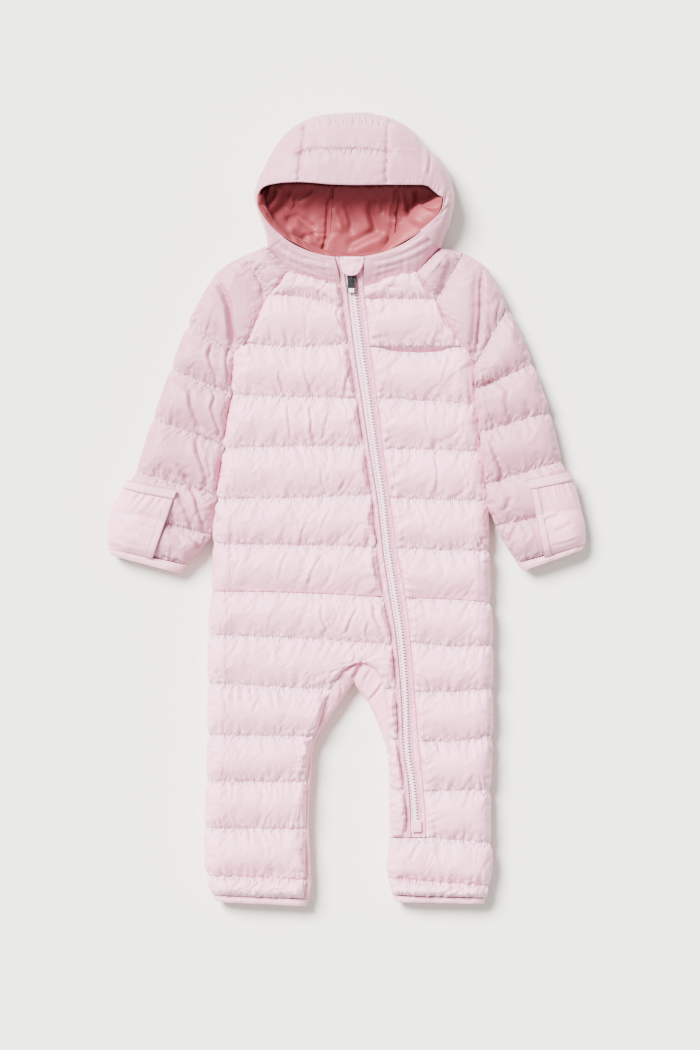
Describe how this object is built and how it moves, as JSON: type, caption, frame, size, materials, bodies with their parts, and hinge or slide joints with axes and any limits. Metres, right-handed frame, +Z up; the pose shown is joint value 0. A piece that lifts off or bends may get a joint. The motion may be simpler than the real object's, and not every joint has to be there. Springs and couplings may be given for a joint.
{
  "type": "baby snowsuit laid flat",
  "caption": "Quilted hooded baby snowsuit laid flat and face up, with a slanting front zip, mitten flaps at the cuffs and a plain crotch gusset.",
  "frame": {"origin": "middle of the garment's box, on the surface it lies on", "axes": "+X to the wearer's left, +Y from the hems to the hood, +Z up from the surface through the front"},
  "size_m": [0.4781, 0.7938, 0.063],
  "materials": {
    "shell_cloth": "soft satin woven nylon, quilted over padding",
    "trim_cloth": "plain stretch binding and tape",
    "lining_cloth": "smooth satin lining",
    "zip_teeth": "moulded teeth, satin",
    "dark_metal": "dark satin paint"
  },
  "bodies": {
    "garment": {"front_right_upper": "shell_cloth", "front_left_yoke": "shell_cloth", "front_left_upper": "shell_cloth", "front_right_lower": "shell_cloth", "front_left_lower": "shell_cloth", "back_upper": "shell_cloth", "back_lower_right": "shell_cloth", "back_lower_left": "shell_cloth", "gusset": "shell_cloth", "sleeve_right": "shell_cloth", "sleeve_left": "shell_cloth", "hood_centre": "shell_cloth", "hood_side_right": "shell_cloth", "hood_side_left": "shell_cloth", "collar_right": "shell_cloth", "collar_left": "shell_cloth", "zip_garage": "shell_cloth", "mitten_flap_right": "trim_cloth", "mitten_flap_left": "trim_cloth", "mitten_band_right": "trim_cloth", "mitten_band_left": "trim_cloth", "mitten_tape_right": "trim_cloth", "mitten_tape_left": "trim_cloth", "cuff_binding_right": "trim_cloth", "cuff_binding_left": "trim_cloth", "hem_binding_right": "trim_cloth", "hem_binding_left": "trim_cloth", "zip_strip_right": "trim_cloth", "zip_strip_left": "trim_cloth", "zip_tape": "trim_cloth", "zip_stop": "trim_cloth", "hood_lining_centre": "lining_cloth", "hood_lining_right": "lining_cloth", "hood_lining_left": "lining_cloth", "pocket_bag": "lining_cloth", "zip_chain": "zip_teeth", "zip_slider": "dark_metal"},
    "zip_pull": {"zip_pull": "dark_metal"}
  },
  "joints": [
    {"name": "pull_hinge", "type": "hinge", "parent": "garment", "child": "zip_pull", "pos_m": [0.0048, 0.2293, 0.0326], "axis": [-1, 0, 0], "range_deg": [0, 105]}
  ]
}
